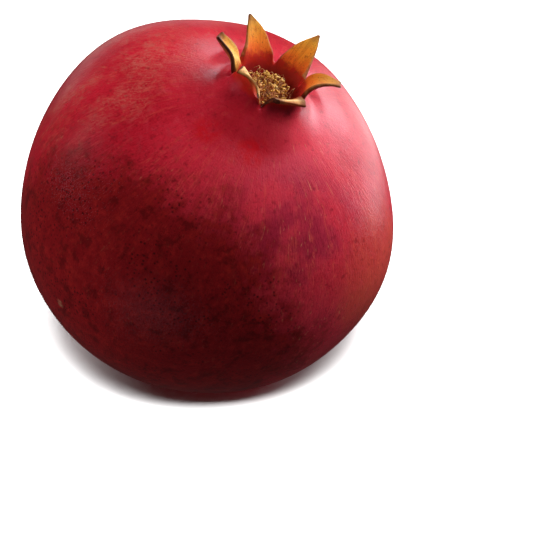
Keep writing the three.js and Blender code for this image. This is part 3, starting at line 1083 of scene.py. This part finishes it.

# the maroon side is partly the rind's own maroon and partly painted shade on the side turned from the key
# light
maroon_and_painted_shade = total(
    tree,
    facing(tree, place, -66, -10, 14, 82),
    spread(tree, blotches, 0.3, 0.7, -0.14, 0.14),
    spread(tree, mottle, 0.3, 0.7, -0.10, 0.10),
)
maroon_and_painted_shade = spread(tree, maroon_and_painted_shade, 0.08, 0.74)
rind_colour = tint(tree, maroon_and_painted_shade, rind_colour, MAROON)
# the rest of the rind, away from the painted shade, where pale marks may show
away_from_painted_shade = math_node(tree, "SUBTRACT", 1.0, product(tree, maroon_and_painted_shade, 0.9))
glow = product(tree, spread(tree, mottle, 0.46, 0.70, 0, 0.6), maroon_and_painted_shade)
rind_colour = tint(tree, glow, rind_colour, GLOW)
patches = noise_value(tree, place, 240, detail=4, roughness=0.65)
patches = product(tree, spread(tree, patches, 0.50, 0.66, 0, 0.7), math_node(tree, "POWER", maroon_and_painted_shade, 2.5))
rind_colour = tint(tree, patches, rind_colour, DARK_PATCH)
print("with the maroon side the rind has", len(tree.nodes), "nodes")

# %% [markdown]
# ## Streaks, dashes and dots
#
# Fine pale strokes run from the calyx towards the stalk, broken and a little wavy, and dark dots freckle the
# shaded side. Stretched noise gives strokes: its place is measured by the direction round the axis, so they
# narrow towards both ends as real ones do. A slow drift of the place keeps them from running dead straight.

# %% Pale and dark strokes
APRICOT = (0.64, 0.090, 0.062)
DARK_FLECK = (0.10, 0.002, 0.004)
DRIFT = 3.5 * MM
SMOOTH_NECK = 12 * MM  # distances from the axis between which the strokes come in
STREAKED_BODY = 34 * MM

drift = add_node(tree, "ShaderNodeTexNoise", {"Vector": place, "Scale": 55, "Detail": 2})
drift = vector_node(tree, "SUBTRACT", {0: drift.outputs["Color"], 1: (0.5, 0.5, 0.5)})
drift = vector_node(tree, "SCALE", {0: drift, "Scale": DRIFT})
drifted = vector_node(tree, "ADD", {0: place, 1: drift})
strokes = streak_place(tree, drifted, 95, 760)
strokes = noise_value(tree, strokes, 1.0, detail=2.5, roughness=0.6, distortion=0.3)
at_girth = spread(tree, distance_from_axis(tree, place), SMOOTH_NECK, STREAKED_BODY, 0.25, 1.0)
bands = noise_value(tree, streak_place(tree, drifted, 16, 70), 1.0, detail=3, roughness=0.6)
in_bands = spread(tree, bands, 0.34, 0.62, 0.15, 1.0)
pale = strongest(
    tree,
    product(tree, spread(tree, strokes, 0.46, 0.64), in_bands, at_girth),
    spread(tree, mottle, 0.48, 0.70, 0, 0.7),
    spread(tree, grain, 0.50, 0.80, 0, 0.5),
)
pale = product(tree, pale, away_from_painted_shade, 0.38)
pale_colour = tint(tree, spread(tree, bands, 0.45, 0.60), ROSE, APRICOT)
rind_colour = tint(tree, pale, rind_colour, pale_colour)
dark = strongest(
    tree,
    product(tree, spread(tree, strokes, 0.42, 0.28, 0, 0.45), at_girth),
    spread(tree, mottle, 0.42, 0.26, 0, 0.50),
    spread(tree, grain, 0.44, 0.24, 0, 0.45),
)
rind_colour = tint(tree, dark, rind_colour, DARK_FLECK)
print("with its strokes the rind has", len(tree.nodes), "nodes")

# %% Golden dashes and black dots
GOLD = (0.60, 0.24, 0.12)
BLACK_DOT = (0.035, 0.002, 0.003)

dashes = noise_value(tree, streak_place(tree, drifted, 75, 560), 1.0, detail=1, distortion=0.6)
dashes = product(tree, spread(tree, dashes, 0.66, 0.76, 0, 0.55), spread(tree, clouds, 0.42, 0.58))
rind_colour = tint(tree, product(tree, dashes, away_from_painted_shade), rind_colour, GOLD)
dots = add_node(tree, "ShaderNodeTexVoronoi", {"Vector": place, "Scale": 900}).outputs["Distance"]
dots = product(
    tree,
    spread(tree, dots, 0.36, 0.16, 0, 0.85),
    spread(tree, maroon_and_painted_shade, 0.2, 0.9, 0.15, 1.0),
    spread(tree, blotches, 0.62, 0.42),
)
rind_colour = tint(tree, dots, rind_colour, BLACK_DOT)
print("with its dots the rind has", len(tree.nodes), "nodes")

# %% [markdown]
# ## Marks from its life on the tree, and painted shade
#
# A rubbed fruit has tan russet on its shoulder, redder spots where it was touched, and a small scar. They are
# soft discs at directions from the fruit's middle, broken up by the mottle so that no edge is round. Three
# more tints here are painted shade: maroon on the upper left shoulder, deep red on the top edge near the
# crown, and the crown's shadow in deep red on the shoulder below it.

# %% Russet, spots, a scar and painted shade
TAN = (0.42, 0.19, 0.12)
DEEP_RED = (0.30, 0.0035, 0.009)
SPOTS_AND_PAINTED_SHADE = [  # azimuth, latitude and half width in degrees, and colour
    (-84, 66.5, 5.5, (0.42, 0.002, 0.006)),
    (-45, 67.5, 6.0, (0.46, 0.002, 0.006)),
    # this one is no spot but painted shade: a deeper red on the top edge near the crown
    (152, 44, 9, (0.42, 0.003, 0.008)),
    (-84, -10, 2.0, (0.30, 0.13, 0.075)),
]

# painted shade: a maroon tint darkens the upper left shoulder
painted_shade_upper_left = product(tree, facing(tree, place, -152, 38, 8, 44), 0.28)
rind_colour = tint(tree, painted_shade_upper_left, rind_colour, MAROON)
rubbed = strongest(
    tree,
    spread(tree, mottle, 0.46, 0.70, 0, 0.34),
    spread(tree, strokes, 0.46, 0.68, 0, 0.32),
    spread(tree, grain, 0.46, 0.72, 0, 0.40),
)
russet = spread(tree, noise_value(tree, place, 70, detail=4, roughness=0.7), 0.44, 0.62)
russet = product(tree, russet, facing(tree, place, -150, 34, 8, 42), rubbed)
rind_colour = tint(tree, russet, rind_colour, TAN)
# painted shadow of the crown: a deep red patch on the shoulder below it
painted_crown_shadow = product(tree, facing(tree, place, -52, 74, 4, 15), 0.55)
rind_colour = tint(tree, painted_crown_shadow, rind_colour, DEEP_RED)
for azimuth, latitude, half_width, spot_and_shade_colour in SPOTS_AND_PAINTED_SHADE:
    spot_and_shade = facing(tree, drifted, azimuth, latitude, 0, half_width)
    spot_and_shade = product(tree, spot_and_shade, spread(tree, mottle, 0.36, 0.60, 0.1, 0.8))
    rind_colour = tint(tree, spot_and_shade, rind_colour, spot_and_shade_colour)
print("the rind has", len(SPOTS_AND_PAINTED_SHADE), "spots and scars")

# %% [markdown]
# ## The sepals and the cup
#
# A sepal is red at its root like the neck, orange and golden where its flesh has dried, and brown at its
# tip and edges. Its colours follow its own length, not the fruit's, so they read the marks that the rows
# got while they were extruded. The folded sepal and the two front lips have dried more, and get ramps of
# their own.

# %% Colours of the inner faces
along = math_node(tree, "MULTIPLY_ADD", mark_value(tree, "sepal_share"), 0.5, 0.5)
wander = noise_value(tree, place, 420, detail=4, roughness=0.6)
along_ragged = total(tree, along, spread(tree, wander, 0.2, 0.8, -0.05, 0.05))
# from the cup's floor at 0, past the rim at 0.5, to the sepal's tip at 1
INNER_STOPS = [
    (0.0, (0.20, 0.014, 0.014)),
    (0.30, (0.40, 0.030, 0.030)),
    (0.46, (0.48, 0.020, 0.022)),
    (0.54, (0.48, 0.022, 0.010)),
    (0.61, (0.75, 0.125, 0.014)),
    (0.73, (0.82, 0.225, 0.019)),
    (0.86, (0.72, 0.31, 0.033)),
    (0.94, (0.42, 0.19, 0.035)),
    (0.975, (0.13, 0.050, 0.016)),
    (1.0, (0.050, 0.019, 0.009)),
]
FOLDED_STOPS = [
    (0.50, (0.62, 0.20, 0.040)),
    (0.56, (0.92, 0.47, 0.100)),
    (0.72, (0.95, 0.54, 0.120)),
    (0.88, (0.74, 0.33, 0.060)),
    (0.95, (0.22, 0.075, 0.020)),
    (1.0, (0.070, 0.026, 0.012)),
]
LIP_STOPS = [
    (0.48, (0.34, 0.012, 0.008)),
    (0.56, (0.36, 0.075, 0.014)),
    (0.66, (0.50, 0.21, 0.045)),
    (0.80, (0.84, 0.60, 0.28)),
    (0.90, (0.56, 0.29, 0.09)),
    (1.0, (0.24, 0.050, 0.012)),
]
print("the inner face has", len(INNER_STOPS), "colours from the floor to the tip")

# %% Colours of the outer faces
OUTER_STOPS = [
    (0.35, (0.40, 0.006, 0.011)),
    (0.47, (0.44, 0.011, 0.008)),
    (0.60, (0.36, 0.040, 0.008)),
    (0.80, (0.26, 0.050, 0.010)),
    (0.93, (0.11, 0.030, 0.010)),
    (0.99, (0.04, 0.014, 0.008)),
]
FOLDED_BACK_STOPS = [
    (0.50, (0.62, 0.090, 0.045)),
    (0.70, (0.40, 0.090, 0.030)),
    (0.95, (0.12, 0.040, 0.016)),
]
UNDER_LIP_STOPS = [
    (0.47, (0.44, 0.009, 0.007)),
    (0.75, (0.42, 0.017, 0.007)),
    (0.95, (0.40, 0.060, 0.014)),
]
print("the outer face has", len(OUTER_STOPS), "colours from the neck to the tip")

# %% Choose the ramp by the sepal, and join it to the neck
ARCHED_BROWN = (0.30, 0.11, 0.018)
DRY_GOLD = (0.95, 0.56, 0.20)


def is_sepal(tree, sepal_number, name):
    """1 on the sepal with this name, and 0 elsewhere."""
    number = list(SEPALS).index(name) + 1
    return math_node(tree, "COMPARE", sepal_number, number, 0.3)


sepal_number = mark_value(tree, "sepal_number")
on_blade = spread(tree, along, 0.50, 0.54)
is_folded = product(tree, is_sepal(tree, sepal_number, "folded"), on_blade)
is_lip = spread(tree, sepal_number, 4.3, 4.7)  # the lips are the fifth and the sixth

inner = colour_ramp(tree, along_ragged, INNER_STOPS)
inner = tint(tree, is_folded, inner, colour_ramp(tree, along_ragged, FOLDED_STOPS))
arched_end = spread(tree, along_ragged, 0.62, 0.80, 0, 0.5)
arched_end = product(tree, is_sepal(tree, sepal_number, "arched"), arched_end)
inner = tint(tree, arched_end, inner, ARCHED_BROWN)
inner = tint(tree, is_lip, inner, colour_ramp(tree, along_ragged, LIP_STOPS))
dried = product(tree, is_sepal(tree, sepal_number, "front_left"), on_blade, 0.6)
inner = tint(tree, dried, inner, DRY_GOLD)

outer = colour_ramp(tree, along_ragged, OUTER_STOPS)
outer = tint(tree, is_folded, outer, colour_ramp(tree, along_ragged, FOLDED_BACK_STOPS))
outer = tint(tree, is_lip, outer, colour_ramp(tree, along_ragged, UNDER_LIP_STOPS))
outer = tint(tree, spread(tree, along_ragged, 0.36, 0.50), rind_colour, outer)
colour = tint(tree, mark_value(tree, "inner_face"), outer, inner)
print("with its sepals the rind has", len(tree.nodes), "nodes")

# %% Fibres, dry edges, cracks, stains and specks
FIBRE_RED = (0.34, 0.030, 0.006)
DRY_EDGE = [(0.42, (0.12, 0.040, 0.014)), (0.62, (0.40, 0.20, 0.075))]
LIP_END = (0.14, 0.040, 0.014)
CRACK_SHADE = (0.025, 0.003, 0.003)
STAIN = (0.26, 0.028, 0.008)
SPECK = (0.16, 0.030, 0.008)

fibres = noise_value(tree, streak_place(tree, place, 26, 60), 1.0, detail=4, roughness=0.65)
colour = tint(tree, product(tree, spread(tree, fibres, 0.42, 0.70, 0, 0.35), on_blade), colour, FIBRE_RED)
edge = total(tree, mark_value(tree, "blade_edge"), spread(tree, wander, 0.2, 0.8, -0.06, 0.06))
edge = product(tree, spread(tree, edge, 0.88, 1.0), spread(tree, along, 0.5, 0.56, 0, 0.7))
colour = tint(tree, edge, colour, colour_ramp(tree, wander, DRY_EDGE))
lip_end = spread(tree, mark_value(tree, "blade_edge"), 0.40, 0.80, 0, 0.8)
colour = tint(tree, product(tree, lip_end, spread(tree, sepal_number, 5.3, 5.8)), colour, LIP_END)
# painted shade: the cracks between the sepals are darkened almost to black
colour = tint(tree, spread(tree, mark_value(tree, "crack"), 0.25, 0.8, 0, 0.85), colour, CRACK_SHADE)
stains = spread(tree, noise_value(tree, place, 620, detail=4, roughness=0.7), 0.54, 0.70, 0, 0.55)
colour = tint(tree, product(tree, stains, on_blade), colour, STAIN)
specks = spread(tree, noise_value(tree, place, 2300, detail=2), 0.60, 0.72, 0, 0.6)
colour = tint(tree, product(tree, specks, on_blade), colour, SPECK)
print("with its fine marks the rind has", len(tree.nodes), "nodes")

# %% [markdown]
# ## The rind's surface
#
# The skin has a soft waxy gloss, and the sepals are dry and dull. Shallow dents, the strokes and a fine
# grain break the gloss up. They are too low to show in the outline, so a bump is enough. The gloss is
# tinted a little pink, because light that glances off the rind picks up colour from the layer under the
# wax.

# %% Gloss and bump of the rind
BUMP_DEPTH = 0.25 * MM

dents = noise_value(tree, place, 150, detail=3)
height = total(tree, product(tree, grain, 0.22), dents, product(tree, strokes, at_girth, 0.55))
roughness = total(tree, spread(tree, clouds, 0.3, 0.7, 0.32, 0.27), product(tree, on_blade, 0.26))
surface = finish_surface(tree, colour, roughness, height, BUMP_DEPTH, 0.6)
surface.inputs["Specular IOR Level"].default_value = 0.4
surface.inputs["Specular Tint"].default_value = (0.86, 0.78, 1.0, 1)
dress(skin, rind_finish, "rind")

# %% [markdown]
# ## The stamens' finish
#
# Dried anthers are golden with brown creases, the filaments are reddish, and the mat below has darkened.
# The three are one mesh, so a mark on each says which it is. Deep in the cup everything is darkened towards
# brown by a tint by height, which is painted shade.

# %% Golden anthers, reddish filaments and the dark mat
ANTHER_STOPS = [
    (0.30, (0.24, 0.075, 0.016)),
    (0.44, (0.54, 0.26, 0.048)),
    (0.58, (0.78, 0.48, 0.12)),
    (0.75, (0.86, 0.66, 0.28)),
]
FILAMENT_STOPS = [(0.35, (0.42, 0.13, 0.055)), (0.65, (0.80, 0.46, 0.22))]
MAT_STOPS = [(0.35, (0.16, 0.038, 0.015)), (0.65, (0.52, 0.23, 0.065))]
CUP_SHADE_BROWN = (0.10, 0.020, 0.008)

stamen_finish, tree = new_material("dried_stamens")
place = fruit_place(tree)
creases = noise_value(tree, place, 700, detail=3, roughness=0.6)
part = mark_value(tree, "stamen_part")
mat_colour = colour_ramp(tree, creases, MAT_STOPS)
colour = tint(tree, spread(tree, part, 0.1, 0.4), mat_colour, colour_ramp(tree, creases, FILAMENT_STOPS))
colour = tint(tree, spread(tree, part, 0.6, 0.9), colour, colour_ramp(tree, creases, ANTHER_STOPS))
height_in_cup = add_node(tree, "ShaderNodeSeparateXYZ", {"Vector": place}).outputs["Z"]
# painted shade: the lower in the cup, the browner and darker
painted_cup_shade = spread(tree, height_in_cup, MAT_TOP + 2.6 * MM, MAT_TOP, 0, 0.4)
colour = tint(tree, painted_cup_shade, colour, CUP_SHADE_BROWN)
finish_surface(tree, colour, 0.7, noise_value(tree, place, 5000, detail=2), 0.1 * MM, 0.6)
dress(tuft, stamen_finish, "stamens")

# %% [markdown]
# ## The stalk's finish
#
# The peg has brown ridged bark, and its cut shows pale wood in a ring round a dark pith. The bark's fibres
# are the rind's strokes again, much coarser, and the cut's rings are a ramp over the distance from the
# axis.

# %% Bark and cut wood
BARK_STOPS = [(0.3, (0.045, 0.022, 0.010)), (0.55, (0.13, 0.070, 0.032)), (0.75, (0.25, 0.15, 0.075))]
WOOD_STOPS = [
    (0.10, (0.16, 0.085, 0.035)),
    (0.22, (0.42, 0.29, 0.15)),
    (0.62, (0.50, 0.36, 0.20)),
    (0.76, (0.14, 0.07, 0.03)),
]

stalk_finish, tree = new_material("cut_stalk")
place = fruit_place(tree)
fibres = noise_value(tree, streak_place(tree, place, 9, 250), 1.0, detail=4, roughness=0.6)
from_axis = product(tree, distance_from_axis(tree, place), 1 / STALK_RADIUS)
height_on_stalk = add_node(tree, "ShaderNodeSeparateXYZ", {"Vector": place}).outputs["Z"]
at_cut = spread(tree, height_on_stalk, STALK_CUT + 0.35 * MM, STALK_CUT + 0.15 * MM)
bark = colour_ramp(tree, fibres, BARK_STOPS)
colour = tint(tree, at_cut, bark, colour_ramp(tree, from_axis, WOOD_STOPS))
finish_surface(tree, colour, 0.8, fibres, 0.3 * MM, 0.8)
dress(stalk, stalk_finish, "stalk_stub")

# %% [markdown]
# ## The table
#
# The fruit stands on a plain white table that sweeps up into a wall far off, so that no edge shows from any
# side. A flat plane would do for one view. The table is kept out of the light that bounces onto the fruit,
# because a white table all round would wash its lower half out. A light of its own stands in for that
# bounce.

# %% Sweep the table up into a wall
TABLE_OUTLINE = [(0, 0), (1.2, 0), (1.7, 0.06), (2.0, 0.3), (2.1, 0.8), (2.1, 2.0)]  # metres


def model_table():
    table = draw_outline("table", TABLE_OUTLINE)
    spin_outline(table, 64)
    edit(table)
    bpy.ops.mesh.select_all(action="SELECT")
    bpy.ops.mesh.flip_normals()
    bpy.ops.object.mode_set(mode="OBJECT")
    bpy.ops.object.shade_smooth()
    table.visible_diffuse = False
    table.visible_glossy = False
    table.visible_shadow = False
    return table


table = model_table()
print("the table has", len(table.data.polygons), "faces")

# %% A white finish that brightens far from the fruit
table_finish, tree = new_material("white_table")
coordinates = add_node(tree, "ShaderNodeTexCoord")
from_middle = vector_node(tree, "LENGTH", {0: coordinates.outputs["Object"]}, "Value")
surface = add_node(
    tree,
    "ShaderNodeBsdfPrincipled",
    {"Base Color": (0.9, 0.9, 0.9, 1), "Roughness": 0.45, "Emission Color": (1, 1, 1, 1)},
)
tree.links.new(spread(tree, from_middle, 0.35, 0.9), surface.inputs["Emission Strength"])
surface.inputs["Specular IOR Level"].default_value = 0.2
add_node(tree, "ShaderNodeOutputMaterial", {"Surface": surface.outputs["BSDF"]})
table.data.materials.append(table_finish)
print("the table's finish has", len(tree.nodes), "nodes")

# %% [markdown]
# ## The camera
#
# The camera looks down on the fruit from its lower left, so that the crown leans away to the upper right. A
# long lens keeps the ball round. It is set by its direction and distance, because those can be worked out
# from the fruit's lean, and its aim is off the fruit's middle, which puts the fruit at the upper left.

# %% Set up the camera
VIEW_AZIMUTH = 46.86
VIEW_ELEVATION = 29.0
FOCAL_LENGTH = 100
SENSOR_WIDTH = 36
VIEW_DISTANCE = 414.8 * MM
AIM_RIGHT = 19.9 * MM
AIM_DOWN = 19.4 * MM


def view_axes(azimuth, elevation):
    """Which ways are right, up and back towards the viewer, for a camera that looks at the fruit."""
    turn = math.radians(azimuth)
    rise = math.radians(elevation)
    right = Vector((math.cos(turn), math.sin(turn), 0))
    back = Vector((math.sin(turn) * math.cos(rise), -math.cos(turn) * math.cos(rise), math.sin(rise)))
    return right, back.cross(right), back


right, up, back = view_axes(VIEW_AZIMUTH, VIEW_ELEVATION)
aim = FRUIT_MIDDLE + right * AIM_RIGHT - up * AIM_DOWN
camera_data = bpy.data.cameras.new("camera")
camera_data.lens = FOCAL_LENGTH
camera_data.sensor_width = SENSOR_WIDTH
camera_data.clip_start = 0.01
camera = bpy.data.objects.new("camera", camera_data)
camera.matrix_world = Matrix((right, up, back)).transposed().to_4x4()
camera.matrix_world.translation = aim + back * VIEW_DISTANCE
bpy.context.scene.collection.objects.link(camera)
bpy.context.scene.camera = camera
print("the camera stands", round(VIEW_DISTANCE / MM), "mm from its aim")

# %% [markdown]
# ## The lights
#
# Five softboxes stand behind the fruit, and their reflections are the pale sheens right and left of the
# crown, along the right side and on the top edge. A broad key light from the upper right, a weaker light
# from the left and a low one for the table's bounce shape the body. These three have no reflection, which
# would add sheens that the fruit lacks. Two more lights are for the table alone, one in front and one wide
# and high.

# %% Helpers for lights
def add_softbox(name, toward, distance, width, height, power, aim=FRUIT_MIDDLE):
    """A soft light. toward is its direction from the aim, as right, up and back in the camera's view."""
    place = (right * toward[0] + up * toward[1] + back * toward[2]).normalized()
    light_data = bpy.data.lights.new(name, "AREA")
    light_data.shape = "RECTANGLE"
    light_data.size = width
    light_data.size_y = height
    light_data.energy = power
    light = bpy.data.objects.new(name, light_data)
    light.location = aim + place * distance
    light.rotation_euler = place.to_track_quat("Z", "Y").to_euler()
    bpy.context.scene.collection.objects.link(light)
    return light


def light_group(name, state):
    """A collection that holds the table, to include it in a light's reach or keep it out."""
    group = bpy.data.collections.new(name)
    group.objects.link(table)
    group.collection_objects[0].light_linking.link_state = state
    return group


only_table = light_group("only_table", "INCLUDE")
all_but_table = light_group("all_but_table", "EXCLUDE")
print("the table has its own lights")

# %% Light the fruit
sheens = [
    add_softbox("right_softbox", (0.715, 0.645, -0.38), 0.8, 0.38, 0.30, 2.4),
    add_softbox("low_softbox", (0.80, 0.26, -0.54), 0.8, 0.36, 0.30, 0.9),
    add_softbox("top_softbox", (0.10, 0.96, -0.26), 0.8, 0.22, 0.16, 0.78),
    add_softbox("rim_softbox", (-0.25, 0.52, -0.82), 0.8, 0.50, 0.20, 0.15),
    add_softbox("edge_softbox", (0.46, 0.34, -0.82), 0.8, 0.24, 0.24, 0.35),
]
shaping_lights = [
    add_softbox("key_light", (0.64, 0.70, 0.28), 0.9, 0.75, 0.75, 13.8),
    add_softbox("left_light", (-0.88, 0.38, 0.18), 0.9, 0.40, 0.60, 6.3),
    add_softbox("table_bounce", (-0.40, -0.80, 0.30), 0.9, 0.70, 0.50, 2.2),
]
for light in sheens + shaping_lights:
    light.light_linking.receiver_collection = all_but_table
for light in shaping_lights:
    light.visible_glossy = False
print("the fruit has", len(sheens), "sheens and", len(shaping_lights), "shaping lights")

# %% Light the table and the room
MIDDLE_OF_TABLE = Vector((0, 0, 0))
BEHIND_FRUIT = Vector((0.1, 0.15, 0))

table_lights = [
    add_softbox("front_table_light", (0.08, 0.37, 0.92), 1.2, 0.45, 0.35, 55, aim=MIDDLE_OF_TABLE),
    add_softbox("wide_table_light", (0.0, 0.875, 0.485), 1.0, 2.4, 2.4, 18, aim=BEHIND_FRUIT),
]
for light in table_lights:
    light.light_linking.receiver_collection = only_table

world = bpy.data.worlds.new("studio")
bpy.context.scene.world = world
world.use_nodes = True
background = world.node_tree.nodes["Background"]
background.inputs["Color"].default_value = (1, 1, 1, 1)
background.inputs["Strength"].default_value = 0.025
bpy.context.scene.view_settings.view_transform = "Standard"
print("the table has", len(table_lights), "lights")
